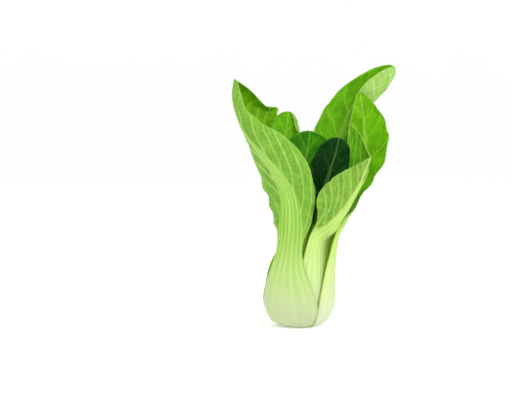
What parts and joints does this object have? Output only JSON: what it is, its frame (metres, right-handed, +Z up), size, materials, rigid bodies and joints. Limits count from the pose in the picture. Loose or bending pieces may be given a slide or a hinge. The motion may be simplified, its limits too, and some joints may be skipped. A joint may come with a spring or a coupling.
{
  "type": "bok choy",
  "caption": "Upright head of green-stalked bok choy: clasping leaves with thick pale stalks and cupped green blades, round a short stem with a flat cut face.",
  "frame": {"origin": "centre of the flat cut face of the stem, which is the lowest part of the head", "axes": "+Z up along the stem; -Y the side with the broad front-left leaf and the folded front-right leaf; +X towards the right-hand outer leaf"},
  "size_m": [0.1286, 0.0831, 0.2041],
  "materials": {
    "leaf": "waxy satin; whitish green stalk running into a mid-green blade with pale veins",
    "dark_leaf": "waxy satin; deep green blade on a pale green stalk",
    "young_leaf": "waxy satin; yellow-green",
    "cut_stem": "moist matt; greenish white"
  },
  "bodies": {
    "root": {"leaf_01_right": "leaf", "leaf_02_front_left": "leaf", "leaf_03_back": "leaf", "leaf_04_front_right": "leaf", "leaf_05_left": "leaf", "leaf_06_back_right": "leaf", "leaf_08_back_inner": "dark_leaf", "leaf_09_right_inner": "dark_leaf", "leaf_07_front_inner": "young_leaf", "leaf_10_heart_left": "young_leaf", "leaf_11_heart_right": "young_leaf", "stem_core": "cut_stem"}
  },
  "joints": []
}
